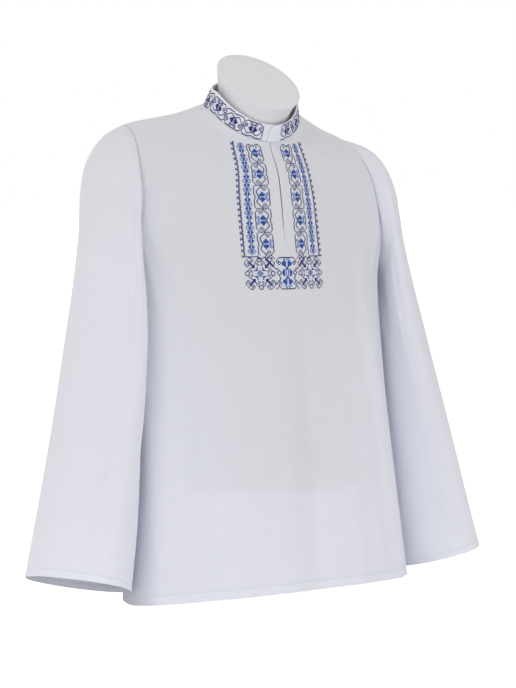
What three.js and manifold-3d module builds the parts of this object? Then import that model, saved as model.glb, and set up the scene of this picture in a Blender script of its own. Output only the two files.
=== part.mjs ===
// A folk shirt of thin white cloth, worn by a limbless display form on a short stand.
// Millimetres, +Z up. The wearer faces -Y, and the wearer's left is +X. The origin is the centre of
// the stand's underside. Every cloth panel is a thin closed wall whose outer face follows rings
// interpolated between the rows of a short table.
import * as THREE from "three";
import { mergeVertices } from "three/addons/utils/BufferGeometryUtils.js";
import Module from "manifold-3d";

// ---- Driving dimensions ----
const CLOTH = 1.5; // wall of a body panel or sleeve
const BAND = 2.0; // wall of the stiffened collar band
const SEAM = 0.35; // gap that parts two pieces along a seam
const HEM_DEPTH = 22; // turned-up hem of the body
const CUFF_DEPTH = 18; // turned-up hem of a sleeve
const HEM_EXTRA = 0.8; // second layer of cloth inside a hem
const SLIT_FOOT_Z = 549; // lower end of the neck slit
const SLIT_GAPE = 1.5; // half of the slit's widest opening
const FLAP_PAST = 5; // how far the collar's upper end passes the centre front
const UNDER_PAST = 12; // how far its lower end runs under the upper one
const FLAP_RISE = 2.8; // how far the upper end stands over the lower one
const FLAP_ROUND = 13; // radius of the collar's front corners
const STAND_Y = 45; // how far the stand's centre lies behind the zero of the tables' Y
const POST = { radius: 16, forward: 34 }; // forward of the stand's centre
const BASE = { halfWidth: 120, halfDepth: 70, height: 8, chamfer: 2 };
const FORM_FOOT_Z = 172; // underside of the torso
const BREAST_HALF = 65; // half width of the breast's round middle

// ---- Tables: each row is one ring, from the top down ----
const table = (names, rows) =>
  rows.map((row) => Object.fromEntries(names.map((name, k) => [name, row[k]])));

// half: half width. front, back, mid: Y at the centre front, centre back and sides.
// zFront, zSide, zBack: heights there. square: 2 is an ellipse, more is boxier.
// dip: how quickly the ring leaves its side height towards the front and back. tip: how much lower
// the wearer's left side lies than the table says, and how much higher the right. fall: how far the
// breast falls back on both sides of the centre front.
const RING = [
  "half", "front", "back", "mid", "zFront", "zSide", "zBack", "square", "dip", "tip", "fall",
];
const SHIRT = table(RING, [
  [78, -58, 62, -4, 703, 753, 772, 2.0, 1.2, 0, 0], // neckline
  [100, -62, 88, 14, 689, 747, 757, 2.1, 1.3, 2, 9], // collar root
  [146, -82, 112, 42, 655, 734, 724, 2.3, 1.7, 6, 15], // yoke
  [192, -92, 127, 58, 615, 720, 688, 2.5, 2.0, 8, 17], // shoulder point
  [230, -99, 134, 54, 572, 690, 642, 2.7, 2.0, 8, 17], // cap
  [240, -107, 134, 40, 525, 615, 575, 2.7, 2.0, 4, 16], // upper arm
  [221, -117, 130, 16, 460, 510, 482, 2.5, 2.0, 0, 11], // underarm
  [217, -138, 126, -8, 330, 345, 345, 2.6, 2.0, 0, 5], // waist
  [225, -164, 121, -34, 185, 180, 185, 2.4, 2.0, 0, 0], // hip
  [240, -190, 118, -55, 31, 14, 24, 2.1, 1.2, -5, 0], // hem
]);
const ROW = { neck: 0, shoulder: 3, underarm: 6, hem: 9 };
const COLLAR_TOP = table(RING, [[69, -66, 48, -12, 728, 780, 799, 2.0, 1.2, 0, 0]])[0];

const FORM = table(RING, [
  [62, -91, 46, -22, 752, 797, 841, 2.0, 1.0, -1, 0], // slanted neck cut
  [58, -68, 45, -13, 739, 778, 816, 2.0, 1.0, 0, 0],
  [56, -56, 46, -8, 722, 758, 795, 2.0, 1.0, 0, 0], // throat
  [60, -48, 50, -6, 704, 741, 766, 2.0, 1.1, 0, 0], // neck root
  [96, -55, 80, 12, 675, 737, 747, 2.1, 1.4, 2, 9],
  [142, -73, 104, 40, 646, 726, 716, 2.3, 1.7, 6, 15],
  [184, -83, 119, 56, 608, 711, 682, 2.5, 2.0, 8, 17], // shoulder
  [214, -89, 125, 52, 566, 680, 634, 2.7, 2.0, 8, 17], // arm cap
  [218, -95, 126, 38, 518, 606, 568, 2.7, 2.0, 4, 16],
  [188, -101, 120, 18, 450, 518, 476, 2.5, 2.0, 0, 11], // chest
  [150, -104, 96, -8, 330, 370, 345, 2.3, 2.0, 0, 5], // waist
  [146, -120, 84, -22, 240, 250, 245, 2.3, 2.0, 0, 0], // hip
  [144, -126, 76, -28, 172, 172, 172, 2.3, 2.0, 0, 0], // foot
]);

// Half angle of the armhole, from the side line, at its widest.
const ARMHOLE = THREE.MathUtils.degToRad(36);
const ARMHOLE_STEPS = 12; // straight lengths of each half of its edge

// Sleeve rings after the armhole: the outer and inner points of the ring, its Y extent, how far its
// front and back ends bend in towards the body, how far the front is lifted over the back, and tip.
const ARM = ["outX", "outZ", "inX", "inZ", "front", "back", "bend", "lift", "tip"];
const SLEEVE = table(ARM, [
  [226, 705, 229, 487, -58, 132, 6, 0, 8],
  [252, 674, 229, 456, -64, 129, 16, 0, 7],
  [265, 628, 228, 420, -71, 126, 21, 0, 5],
  [273, 562, 226, 374, -83, 124, 22, 0, 3],
  [287, 485, 225, 315, -96, 122, 20, 0, 0],
  [305, 400, 225, 250, -110, 116, 15, 2, 0],
  [327, 300, 228, 180, -123, 103, 8, 5, 0],
  [352, 190, 234, 105, -134, 96, 3, 10, 0],
  [382, 60, 245, 24, -143, 92, 0, 16, 0], // cuff
]);

// Folds of the body. from and to: degrees round from the centre front at the fold's upper and lower
// end. top and foot: rows. wide: half width in degrees at the two ends. high: ridge (+) or trough (-).
const FOLD = ["from", "to", "top", "foot", "wideTop", "wideFoot", "high"];
const BODY_FOLDS = table(FOLD, [
  [36, 47, 5.2, 9.6, 7, 7, 11], // ridge from the left breast to the side hem
  [52, 62, 5.6, 9.6, 8, 7, -9], // hollow behind it
  [6, 3, 5.6, 9.7, 6, 6, -8], // hollow below the embroidery
  [-9, -10, 5.8, 9.7, 8, 8, 7],
  [20, 22, 5.6, 9.6, 8, 9, 5],
  [-22, -26, 6.2, 9.6, 9, 12, 5],
  [-48, -44, 5.6, 9.6, 8, 9, -6],
  [-68, -64, 6.4, 9.6, 8, 8, 6],
  [-38, -50, 0.4, 4.6, 14, 12, 3], // drag line from the collar to the armhole
  [40, 52, 0.4, 4.6, 14, 12, 3],
  [116, 114, 6.0, 9.6, 8, 9, -8],
  [136, 134, 5.4, 9.6, 8, 10, 8],
  [158, 160, 5.0, 9.6, 8, 11, -7],
  [181, 183, 4.4, 9.6, 8, 11, 8],
  [204, 203, 5.0, 9.6, 8, 11, -7],
  [226, 229, 5.4, 9.6, 8, 10, 8],
  [246, 247, 6.0, 9.6, 8, 8, -7],
]);

// Folds of a sleeve: degrees round the ring from its outer line, the front being positive.
const SLEEVE_FOLDS = table(FOLD, [
  [48, 52, 2.2, 9.6, 12, 14, -7],
  [84, 80, 2.6, 9.6, 12, 15, 5],
  [128, 120, 2.0, 9.6, 14, 16, -6],
  [-44, -52, 2.4, 9.6, 13, 15, -6],
  [-98, -92, 2.2, 9.6, 12, 16, 6],
  [12, 6, 2.6, 9.6, 14, 18, 4],
]);

// ---- Surfaces ----
const at = (rows, v, key) => {
  const i = Math.min(Math.max(Math.floor(v), 0), rows.length - 2);
  const f = v - i;
  const [a, b, c, d] = [i - 1, i, i + 1, i + 2].map(
    (k) => rows[Math.min(Math.max(k, 0), rows.length - 1)][key],
  );
  return b + 0.5 * f * (c - a + f * (2 * a - 5 * b + 4 * c - d + f * (3 * (b - c) + d - a)));
};
const rowAt = (rows, v) =>
  Object.fromEntries(Object.keys(rows[0]).map((key) => [key, at(rows, v, key)]));

function ringPoint(ring, angle) {
  const s = Math.sin(angle);
  const c = Math.cos(angle);
  const k = (Math.abs(s) ** ring.square + Math.abs(c) ** ring.square) ** (-1 / ring.square);
  const reach = k * Math.abs(c);
  const [y, z] = c > 0 ? [ring.front, ring.zFront] : [ring.back, ring.zBack];
  const x = ring.half * k * s;
  const fall = c > 0 ? ring.fall * (1 - Math.exp(-((x / BREAST_HALF) ** 2))) : 0;
  return new THREE.Vector3(
    x,
    ring.mid + (y + fall - ring.mid) * reach,
    ring.zSide + (z - ring.zSide) * reach ** ring.dip - ring.tip * k * s,
  );
}

const smooth = (t) => {
  const x = Math.min(Math.max(t, 0), 1);
  return x * x * (3 - 2 * x);
};
const wrap = (degrees) => ((((degrees + 180) % 360) + 360) % 360) - 180;

function foldHeight(folds, degrees, v) {
  return folds.reduce((sum, fold) => {
    const t = (v - fold.top) / (fold.foot - fold.top);
    if (t <= 0 || t >= 1) return sum;
    const centre = fold.from + (fold.to - fold.from) * t;
    const wide = fold.wideTop + (fold.wideFoot - fold.wideTop) * t;
    const off = wrap(degrees - centre) / wide;
    return sum + fold.high * smooth(t * 2.2) * smooth((1 - t) * 5) * Math.exp(-off * off);
  }, 0);
}

// The outward unit normal of surface(a, v), where turn says which way a and v run round it.
function normalOf(surface, a, v, turn) {
  const [da, dv] = [1e-3, 1e-2];
  const alongA = surface(a + da, v).sub(surface(a - da, v));
  const alongV = surface(a, v + dv).sub(surface(a, v - dv));
  return alongV.cross(alongA).multiplyScalar(turn).normalize();
}

const shirtBase = (angle, v) => ringPoint(rowAt(SHIRT, v), angle);
function shirtPoint(angle, v) {
  const height = foldHeight(BODY_FOLDS, THREE.MathUtils.radToDeg(angle), v);
  return shirtBase(angle, v).addScaledVector(normalOf(shirtBase, angle, v, 1), height);
}

// The armhole's half angle from the side line at a row.
function armhole(v) {
  const [top, foot] = [ROW.shoulder, ROW.underarm];
  const t = (2 * v - top - foot) / (foot - top);
  return Math.abs(t) < 1 ? ARMHOLE * Math.sqrt(1 - t * t) : 0;
}

// Where a sleeve's first ring lies on the body, just inside the armhole, as [angle, row]. side is 1
// for the wearer's left and -1 for the right.
function onBody(side, angle) {
  const half = (ROW.underarm - ROW.shoulder) / 2;
  const inset = 1 - SEAM / 40;
  const v = ROW.shoulder + half - half * Math.cos(angle) * inset;
  return [side * (Math.PI / 2 - Math.sin(angle) * ARMHOLE), v];
}

// A sleeve's ring k: 0 is the armhole, and the others come from the table. The angle runs from the
// outer line to the front.
function sleeveRing(side, k, angle) {
  if (k <= 0) return shirtPoint(...onBody(side, angle));
  const s = Math.sin(angle);
  const c = Math.cos(angle);
  const ring = SLEEVE[Math.min(k, SLEEVE.length) - 1];
  const [x, dx] = [(ring.outX + ring.inX) / 2, (ring.outX - ring.inX) / 2];
  const [y, dy] = [(ring.front + ring.back) / 2, (ring.front - ring.back) / 2];
  const [z, dz] = [(ring.outZ + ring.inZ) / 2, (ring.outZ - ring.inZ) / 2];
  return new THREE.Vector3(
    side * (x + dx * c - ring.bend * s * s),
    y + dy * s,
    z + dz * c + ring.lift * s - ring.tip * side,
  );
}
function sleeveBase(side, angle, u) {
  const i = Math.min(Math.max(Math.floor(u), 0), SLEEVE.length - 1);
  const f = u - i;
  const [a, b, c, d] = [i - 1, i, i + 1, i + 2].map((k) => sleeveRing(side, k, angle));
  const mix = (x) =>
    b[x] + 0.5 * f * (c[x] - a[x] + f * (2 * a[x] - 5 * b[x] + 4 * c[x] - d[x] +
      f * (3 * (b[x] - c[x]) + d[x] - a[x])));
  return new THREE.Vector3(mix("x"), mix("y"), mix("z"));
}
function sleevePoint(side, angle, u) {
  const base = (a, v) => sleeveBase(side, a, v);
  const height = foldHeight(SLEEVE_FOLDS, THREE.MathUtils.radToDeg(angle), u);
  return base(angle, u).addScaledVector(normalOf(base, angle, u, -side), height);
}

// ---- Solids ----
// A closed wall from two grids of points, outer and inner, as rows of equal length. A ring closes on
// itself along each row.
function wall(outer, inner, { ring = false, flip = false } = {}) {
  const rows = outer.length;
  const cols = outer[0].length;
  const points = [...outer.flat(), ...inner.flat()];
  const index = (face, i, j) => face * rows * cols + i * cols + (j % cols);
  const triangles = [];
  const quad = (a, b, c, d) => {
    if (flip) triangles.push(a, c, b, a, d, c);
    else triangles.push(a, b, c, a, c, d);
  };
  const span = ring ? cols : cols - 1;
  for (let i = 0; i < rows - 1; i++)
    for (let j = 0; j < span; j++) {
      quad(index(0, i, j), index(0, i + 1, j), index(0, i + 1, j + 1), index(0, i, j + 1));
      quad(index(1, i, j), index(1, i, j + 1), index(1, i + 1, j + 1), index(1, i + 1, j));
    }
  for (let j = 0; j < span; j++) {
    const last = rows - 1;
    quad(index(0, 0, j), index(0, 0, j + 1), index(1, 0, j + 1), index(1, 0, j));
    quad(index(0, last, j), index(1, last, j), index(1, last, j + 1), index(0, last, j + 1));
  }
  if (!ring)
    for (let i = 0; i < rows - 1; i++) {
      const last = cols - 1;
      quad(index(0, i, 0), index(1, i, 0), index(1, i + 1, 0), index(0, i + 1, 0));
      quad(index(0, i, last), index(0, i + 1, last), index(1, i + 1, last), index(1, i, last));
    }
  return new THREE.BufferGeometry().setFromPoints(points).setIndex(triangles);
}

const steps = (from, to, count) =>
  Array.from({ length: count + 1 }, (_, k) => from + ((to - from) * k) / count);
// Steps that crowd towards both ends.
const easedSteps = (from, to, count) =>
  steps(0, Math.PI, count).map((t) => from + ((to - from) * (1 - Math.cos(t))) / 2);

// Rows of a body panel: crowded where the armhole turns, and with one row at the hem's upper edge.
const HEM_ROW = ROW.hem - HEM_DEPTH / (SHIRT[8].zSide - SHIRT[9].zSide);
const PANEL_ROWS = [
  ...steps(ROW.neck, ROW.shoulder, 6),
  ...easedSteps(ROW.shoulder, ROW.underarm, ARMHOLE_STEPS).slice(1),
  ...steps(ROW.underarm, HEM_ROW, 8).slice(1),
  HEM_ROW + 0.02,
  ROW.hem,
];

// Half of the body, from side seam to side seam round centre. Its columns keep their angles between
// the armholes, and only the outer ones follow the panel's edge.
const CORE = THREE.MathUtils.degToRad(52);
function panel(centre, cols) {
  const outer = [];
  const inner = [];
  for (const v of PANEL_ROWS) {
    const side = Math.PI / 2 - armhole(v) - SEAM / at(SHIRT, v, "half");
    const thick = v > HEM_ROW + 0.01 ? CLOTH + HEM_EXTRA : CLOTH;
    const rim = steps(CORE, side, 7).slice(1);
    const core = steps(-CORE, CORE, cols);
    const angles = [...rim.map((a) => -a).reverse(), ...core, ...rim].map((a) => centre + a);
    const row = angles.map((angle) => shirtPoint(angle, v));
    outer.push(row);
    inner.push(
      angles.map((angle, j) =>
        row[j].clone().addScaledVector(normalOf(shirtPoint, angle, v, 1), -thick),
      ),
    );
  }
  return wall(outer, inner);
}

// One sleeve. Its first ring is as thick as the body it is sewn to, along the body's own normal.
function sleeve(side) {
  const last = SLEEVE.length;
  const cuff = last - CUFF_DEPTH / (SLEEVE[last - 2].outZ - SLEEVE[last - 1].outZ);
  const rows = [...steps(0, 4, 7), ...steps(4, cuff, 7).slice(1), cuff + 0.02, last];
  const surface = (angle, u) => sleevePoint(side, angle, u);
  const outer = [];
  const inner = [];
  for (const u of rows) {
    const thick = u > cuff + 0.01 ? CLOTH + HEM_EXTRA : CLOTH;
    const angles = steps(0, 2 * Math.PI, 2 * ARMHOLE_STEPS).slice(0, -1);
    const row = angles.map((angle) => surface(angle, u));
    outer.push(row);
    inner.push(
      angles.map((angle, j) => {
        const normal =
          u > 0
            ? normalOf(surface, angle, u, -side)
            : normalOf(shirtPoint, ...onBody(side, angle), 1);
        return row[j].clone().addScaledVector(normal, -thick);
      }),
    );
  }
  return wall(outer, inner, { ring: true, flip: side > 0 });
}

// The collar band runs from its under end, past the centre front, once round the neck to its flap.
function collar(cols) {
  const radius = SHIRT[0].half;
  const start = UNDER_PAST / radius;
  const end = -2 * Math.PI - FLAP_PAST / radius;
  const outer = [[], [], []];
  const inner = [[], [], []];
  const ends = [1, 4, 8, FLAP_ROUND].map((mm) => mm / radius);
  const angles = [
    start,
    ...ends.map((e) => start - e),
    ...steps(start - 0.3, end + 0.3, cols),
    ...ends.map((e) => end + e).reverse(),
    end,
  ];
  for (const angle of angles) {
    const fromEnd = Math.min(start - angle, angle - end) * radius;
    const turn = FLAP_ROUND - Math.min(fromEnd, FLAP_ROUND);
    const drop = FLAP_ROUND - Math.sqrt(Math.max(FLAP_ROUND ** 2 - turn ** 2, 0));
    const rise = FLAP_RISE * (1 - smooth((angle - end) / 0.9));
    const foot = ringPoint(SHIRT[0], angle);
    const top = ringPoint(COLLAR_TOP, angle);
    const share = 1 - drop / top.distanceTo(foot);
    const up = top.clone().sub(foot).normalize();
    const along = ringPoint(SHIRT[0], angle + 0.01).sub(ringPoint(SHIRT[0], angle - 0.01));
    const out = along.clone().cross(up).normalize();
    [0, 0.5, 1].forEach((h, i) => {
      const point = foot.clone().lerp(top, h * share).addScaledVector(up, SEAM);
      outer[i].push(point.clone().addScaledVector(out, rise));
      inner[i].push(point.clone().addScaledVector(out, rise - BAND));
    });
  }
  return wall(outer, inner, { flip: false });
}

// A closed solid from a stack of rings, capped flat at both ends.
function stack(rings) {
  const cols = rings[0].length;
  const points = rings.flat();
  const middle = (ring) =>
    ring.reduce((sum, p) => sum.add(p), new THREE.Vector3()).divideScalar(cols);
  const [top, foot] = [points.length, points.length + 1];
  points.push(middle(rings[0]), middle(rings.at(-1)));
  const triangles = [];
  for (let j = 0; j < cols; j++) {
    const k = (j + 1) % cols;
    triangles.push(top, j, k);
    const base = (rings.length - 1) * cols;
    triangles.push(foot, base + k, base + j);
    for (let i = 0; i < rings.length - 1; i++) {
      const [a, b] = [i * cols, (i + 1) * cols];
      triangles.push(a + j, b + j, b + k, a + j, b + k, a + k);
    }
  }
  return new THREE.BufferGeometry().setFromPoints(points).setIndex(triangles);
}

const dressForm = (cols) =>
  stack(
    steps(0, FORM.length - 1, 2 * (FORM.length - 1)).map((v) =>
      steps(0, 2 * Math.PI, cols).slice(0, -1).map((angle) => ringPoint(rowAt(FORM, v), angle)),
    ),
  );

function standBase(cols) {
  const { halfWidth, halfDepth, height, chamfer } = BASE;
  const ring = (inset, z) =>
    steps(0, 2 * Math.PI, cols).slice(0, -1).map((angle) =>
      new THREE.Vector3(
        (halfWidth - inset) * Math.sin(angle),
        STAND_Y - (halfDepth - inset) * Math.cos(angle),
        z,
      ),
    );
  return stack([ring(chamfer, height), ring(0, height - chamfer), ring(0, 0)]);
}

const wasm = await Module();
wasm.setup();
function toSolid(geometry) {
  const bare = geometry.clone();
  bare.deleteAttribute("normal");
  bare.deleteAttribute("uv");
  const merged = mergeVertices(bare, 1e-4);
  return new wasm.Manifold(
    new wasm.Mesh({
      numProp: 3,
      vertProperties: new Float32Array(merged.attributes.position.array),
      triVerts: new Uint32Array(merged.index.array),
    }),
  );
}
function toGeometry(solid) {
  const { vertProperties, triVerts } = solid.getMesh();
  return new THREE.BufferGeometry()
    .setAttribute("position", new THREE.BufferAttribute(vertProperties, 3))
    .setIndex(new THREE.BufferAttribute(triVerts, 1));
}

// The neck slit: a slim lens through the front panel alone.
function slitCutter() {
  const top = SHIRT[0].zFront + 20;
  const middle = (SLIT_FOOT_Z + top) / 2;
  const lens = new THREE.Shape();
  lens.moveTo(0, SLIT_FOOT_Z);
  lens.quadraticCurveTo(SLIT_GAPE * 2, middle - 40, 0.3, top);
  lens.lineTo(-0.3, top);
  lens.quadraticCurveTo(-SLIT_GAPE * 2, middle - 40, 0, SLIT_FOOT_Z);
  return new THREE.ExtrudeGeometry(lens, { depth: 160, bevelEnabled: false, curveSegments: 10 })
    .rotateX(Math.PI / 2)
    .translate(0, -20, 0);
}

// ---- Pieces ----
const cloth = { color: 0xeceef4, roughness: 0.9, metalness: 0 };
const shell = { color: 0xdadade, roughness: 0.5, metalness: 0 };
const steel = { color: 0xd4d5d8, roughness: 0.4, metalness: 0.6 };
const shirt = new THREE.Group();

function addPiece(name, geometry, finish) {
  const mesh = new THREE.Mesh(geometry, new THREE.MeshStandardMaterial(finish));
  mesh.name = name;
  mesh.position.y = -STAND_Y;
  shirt.add(mesh);
}

const front = toSolid(panel(0, 24)).subtract(toSolid(slitCutter()));
addPiece("front", toGeometry(front), cloth);
addPiece("back", panel(Math.PI, 20), cloth);
addPiece("sleeve_left", sleeve(1), cloth);
addPiece("sleeve_right", sleeve(-1), cloth);
addPiece("collar", collar(30), cloth);
addPiece("dress_form", dressForm(36), shell);
const postFoot = BASE.height + SEAM;
const postHeight = FORM_FOOT_Z - SEAM - postFoot;
const post = new THREE.CylinderGeometry(POST.radius, POST.radius, postHeight, 24)
  .rotateX(Math.PI / 2)
  .translate(0, STAND_Y - POST.forward, postFoot + postHeight / 2);
addPiece("stand_post", post, steel);
addPiece("stand_base", standBase(32), steel);

export default shirt;
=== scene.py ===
"""The looks of a folk shirt of thin white cloth with cross-stitch, worn by a limbless display form.

The cloth pieces are thin shells on the same ring surfaces as the solids. Their tables are in
millimetres and turn to metres in to_scene(). The embroidery is worked stitch by stitch from charts.
"""
import math

import bpy
import numpy as np
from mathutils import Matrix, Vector
from mathutils.bvhtree import BVHTree


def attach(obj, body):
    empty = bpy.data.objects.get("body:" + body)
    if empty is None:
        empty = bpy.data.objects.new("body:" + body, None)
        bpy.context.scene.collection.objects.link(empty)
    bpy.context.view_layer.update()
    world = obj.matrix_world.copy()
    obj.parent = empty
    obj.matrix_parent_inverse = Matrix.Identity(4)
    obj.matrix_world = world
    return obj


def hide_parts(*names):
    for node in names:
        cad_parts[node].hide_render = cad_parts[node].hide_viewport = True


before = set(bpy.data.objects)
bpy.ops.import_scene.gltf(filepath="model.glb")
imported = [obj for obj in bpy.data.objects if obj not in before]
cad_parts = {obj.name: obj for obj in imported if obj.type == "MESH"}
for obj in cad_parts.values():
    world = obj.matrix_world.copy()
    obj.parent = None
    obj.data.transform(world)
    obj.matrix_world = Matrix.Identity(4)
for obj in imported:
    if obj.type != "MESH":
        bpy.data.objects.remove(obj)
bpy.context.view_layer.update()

# ---- Dimensions, in millimetres ----
STAND_Y = 45.0  # how far the stand's centre lies behind the zero of the tables' Y
CLOTH = 0.9  # the cloth as it shows
HEM_CLOTH = 1.9  # the cloth where the hem doubles it
BAND = 2.0  # the collar band
SEAM = 0.35
HEM_DEPTH = 22.0
CUFF_DEPTH = 18.0
SLIT_FOOT_Z = 549.0
FLAP_PAST, UNDER_PAST, FLAP_RISE, FLAP_ROUND = 5.0, 12.0, 2.8, 13.0
ARMHOLE = math.radians(36)
CORE = math.radians(52)
BREAST_HALF = 65.0  # half width of the breast's round middle
PITCH = 1.5  # side of one cross stitch

# half, front, back, mid, zFront, zSide, zBack, square, dip, tip, fall
SHIRT = np.array([
    [78, -58, 62, -4, 703, 753, 772, 2.0, 1.2, 0, 0],
    [100, -62, 88, 14, 689, 747, 757, 2.1, 1.3, 2, 9],
    [146, -82, 112, 42, 655, 734, 724, 2.3, 1.7, 6, 15],
    [192, -92, 127, 58, 615, 720, 688, 2.5, 2.0, 8, 17],
    [230, -99, 134, 54, 572, 690, 642, 2.7, 2.0, 8, 17],
    [240, -107, 134, 40, 525, 615, 575, 2.7, 2.0, 4, 16],
    [221, -117, 130, 16, 460, 510, 482, 2.5, 2.0, 0, 11],
    [217, -138, 126, -8, 330, 345, 345, 2.6, 2.0, 0, 5],
    [225, -164, 121, -34, 185, 180, 185, 2.4, 2.0, 0, 0],
    [240, -190, 118, -55, 31, 14, 24, 2.1, 1.2, -5, 0],
])
SHOULDER_ROW, UNDERARM_ROW, HEM_ROW = 3.0, 6.0, 9.0
COLLAR_TOP = np.array([69, -66, 48, -12, 728, 780, 799, 2.0, 1.2, 0, 0])
FORM = np.array([
    [62, -91, 46, -22, 752, 797, 841, 2.0, 1.0, -1, 0],
    [58, -68, 45, -13, 739, 778, 816, 2.0, 1.0, 0, 0],
    [56, -56, 46, -8, 722, 758, 795, 2.0, 1.0, 0, 0],
    [60, -48, 50, -6, 704, 741, 766, 2.0, 1.1, 0, 0],
    [96, -55, 80, 12, 675, 737, 747, 2.1, 1.4, 2, 9],
    [142, -73, 104, 40, 646, 726, 716, 2.3, 1.7, 6, 15],
    [184, -83, 119, 56, 608, 711, 682, 2.5, 2.0, 8, 17],
    [214, -89, 125, 52, 566, 680, 634, 2.7, 2.0, 8, 17],
    [218, -95, 126, 38, 518, 606, 568, 2.7, 2.0, 4, 16],
    [188, -101, 120, 18, 450, 518, 476, 2.5, 2.0, 0, 11],
    [150, -104, 96, -8, 330, 370, 345, 2.3, 2.0, 0, 5],
    [146, -120, 84, -22, 240, 250, 245, 2.3, 2.0, 0, 0],
    [144, -126, 76, -28, 172, 172, 172, 2.3, 2.0, 0, 0],
])
# outX, outZ, inX, inZ, front, back, bend, lift, tip
SLEEVE = np.array([
    [226, 705, 229, 487, -58, 132, 6, 0, 8],
    [252, 674, 229, 456, -64, 129, 16, 0, 7],
    [265, 628, 228, 420, -71, 126, 21, 0, 5],
    [273, 562, 226, 374, -83, 124, 22, 0, 3],
    [287, 485, 225, 315, -96, 122, 20, 0, 0],
    [305, 400, 225, 250, -110, 116, 15, 2, 0],
    [327, 300, 228, 180, -123, 103, 8, 5, 0],
    [352, 190, 234, 105, -134, 96, 3, 10, 0],
    [382, 60, 245, 24, -143, 92, 0, 16, 0],
], float)

# Folds: degrees round at the upper and lower end, the rows of the two ends, half widths in degrees
# at the two ends, and the height of the ridge, negative for a trough. These are in the solids too.
BODY_FOLDS = [
    (36, 47, 5.2, 9.6, 7, 7, 11),
    (52, 62, 5.6, 9.6, 8, 7, -9),
    (6, 3, 5.6, 9.7, 6, 6, -8),
    (-9, -10, 5.8, 9.7, 8, 8, 7),
    (20, 22, 5.6, 9.6, 8, 9, 5),
    (-22, -26, 6.2, 9.6, 9, 12, 5),
    (-48, -44, 5.6, 9.6, 8, 9, -6),
    (-68, -64, 6.4, 9.6, 8, 8, 6),
    (-38, -50, 0.4, 4.6, 14, 12, 3),
    (40, 52, 0.4, 4.6, 14, 12, 3),
    (116, 114, 6.0, 9.6, 8, 9, -8),
    (136, 134, 5.4, 9.6, 8, 10, 8),
    (158, 160, 5.0, 9.6, 8, 11, -7),
    (181, 183, 4.4, 9.6, 8, 11, 8),
    (204, 203, 5.0, 9.6, 8, 11, -7),
    (226, 229, 5.4, 9.6, 8, 10, 8),
    (246, 247, 6.0, 9.6, 8, 8, -7),
]
SLEEVE_FOLDS = [
    (48, 52, 2.2, 9.6, 12, 14, -7),
    (84, 80, 2.6, 9.6, 12, 15, 5),
    (128, 120, 2.0, 9.6, 14, 16, -6),
    (-44, -52, 2.4, 9.6, 13, 15, -6),
    (-98, -92, 2.2, 9.6, 12, 16, 6),
    (12, 6, 2.6, 9.6, 14, 18, 4),
]
# Finer creases of the cloth, which only show here.
BODY_CREASES = [
    (22, 39, 5.0, 9.8, 4.5, 4.0, 3.6),
    (29, 46, 5.2, 9.8, 4.5, 4.0, -3.4),
    (33, 40, 2.6, 7.4, 2.6, 3.4, 2.0),
    (30, 37, 3.0, 7.6, 2.4, 3.4, -2.2),
    (46, 43, 4.2, 6.6, 2.4, 3.2, -2.6),
    (49, 46, 4.0, 6.8, 2.2, 3.0, 2.2),
    (57, 50, 4.3, 6.4, 2.2, 3.0, -2.8),
    (61, 55, 4.4, 6.6, 2.2, 3.0, 2.6),
    (66, 60, 4.7, 6.9, 2.4, 3.2, -2.6),
    (-57, -52, 4.3, 6.4, 2.6, 3.4, -1.4),
    (-62, -57, 4.5, 6.6, 2.4, 3.4, 1.2),
    (-34, -46, 0.2, 3.4, 5.0, 5.0, 1.6),
    (-28, -38, 0.3, 3.8, 5.5, 5.0, -1.8),
    (36, 46, 0.2, 3.2, 5.0, 5.0, 1.2),
    (-12, -16, 6.8, 9.5, 4.0, 5.0, -1.4),
    (-36, -34, 7.0, 9.5, 4.0, 5.0, 1.6),
    (8, 9, 6.4, 9.4, 3.0, 4.0, 1.5),
    (20, 23, 6.2, 9.4, 3.0, 3.5, 1.6),
    (34, 38, 7.4, 9.5, 3.0, 3.0, -1.5),
    (122, 130, 4.2, 6.8, 2.6, 3.4, -1.8),
    (118, 124, 4.4, 6.8, 2.4, 3.2, 1.6),
    (238, 230, 4.2, 6.8, 2.6, 3.4, -1.8),
    (242, 236, 4.4, 6.8, 2.4, 3.2, 1.6),
    (145, 133, 0.2, 3.4, 5.0, 5.0, 1.4),
    (215, 227, 0.2, 3.4, 5.0, 5.0, 1.4),
    (150, 147, 6.4, 9.5, 3.5, 4.5, -1.6),
    (170, 171, 5.6, 9.5, 3.5, 4.5, 1.6),
    (193, 193, 6.0, 9.5, 3.5, 4.5, -1.5),
    (216, 218, 6.4, 9.5, 3.5, 4.5, 1.5),
]
SLEEVE_CREASES = [
    (70, 66, 1.6, 5.2, 4.0, 5.0, -1.6),
    (76, 72, 1.4, 5.6, 3.6, 4.6, 1.4),
    (104, 98, 1.4, 4.8, 4.0, 5.0, -1.8),
    (112, 106, 1.2, 5.0, 3.6, 5.0, 1.5),
    (146, 136, 0.7, 4.2, 5.0, 6.0, -2.4),
    (158, 150, 0.6, 3.8, 5.0, 6.0, 2.2),
    (-120, -112, 1.2, 5.0, 4.5, 6.0, -2.0),
    (-132, -126, 1.0, 4.6, 4.5, 6.0, 1.8),
    (-74, -70, 2.0, 6.8, 4.5, 6.0, -1.5),
    (30, 34, 5.4, 9.4, 6.0, 7.0, -1.8),
    (64, 60, 6.4, 9.4, 5.0, 6.0, 1.6),
    (-20, -24, 5.2, 9.4, 6.0, 7.0, 1.5),
]


# ---- Surfaces ----
def between(a, b, c, d, f):
    """A smooth curve's point, the share f of the way from b to c."""
    return b + 0.5 * f * (c - a + f * (2 * a - 5 * b + 4 * c - d + f * (3 * (b - c) + d - a)))


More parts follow.
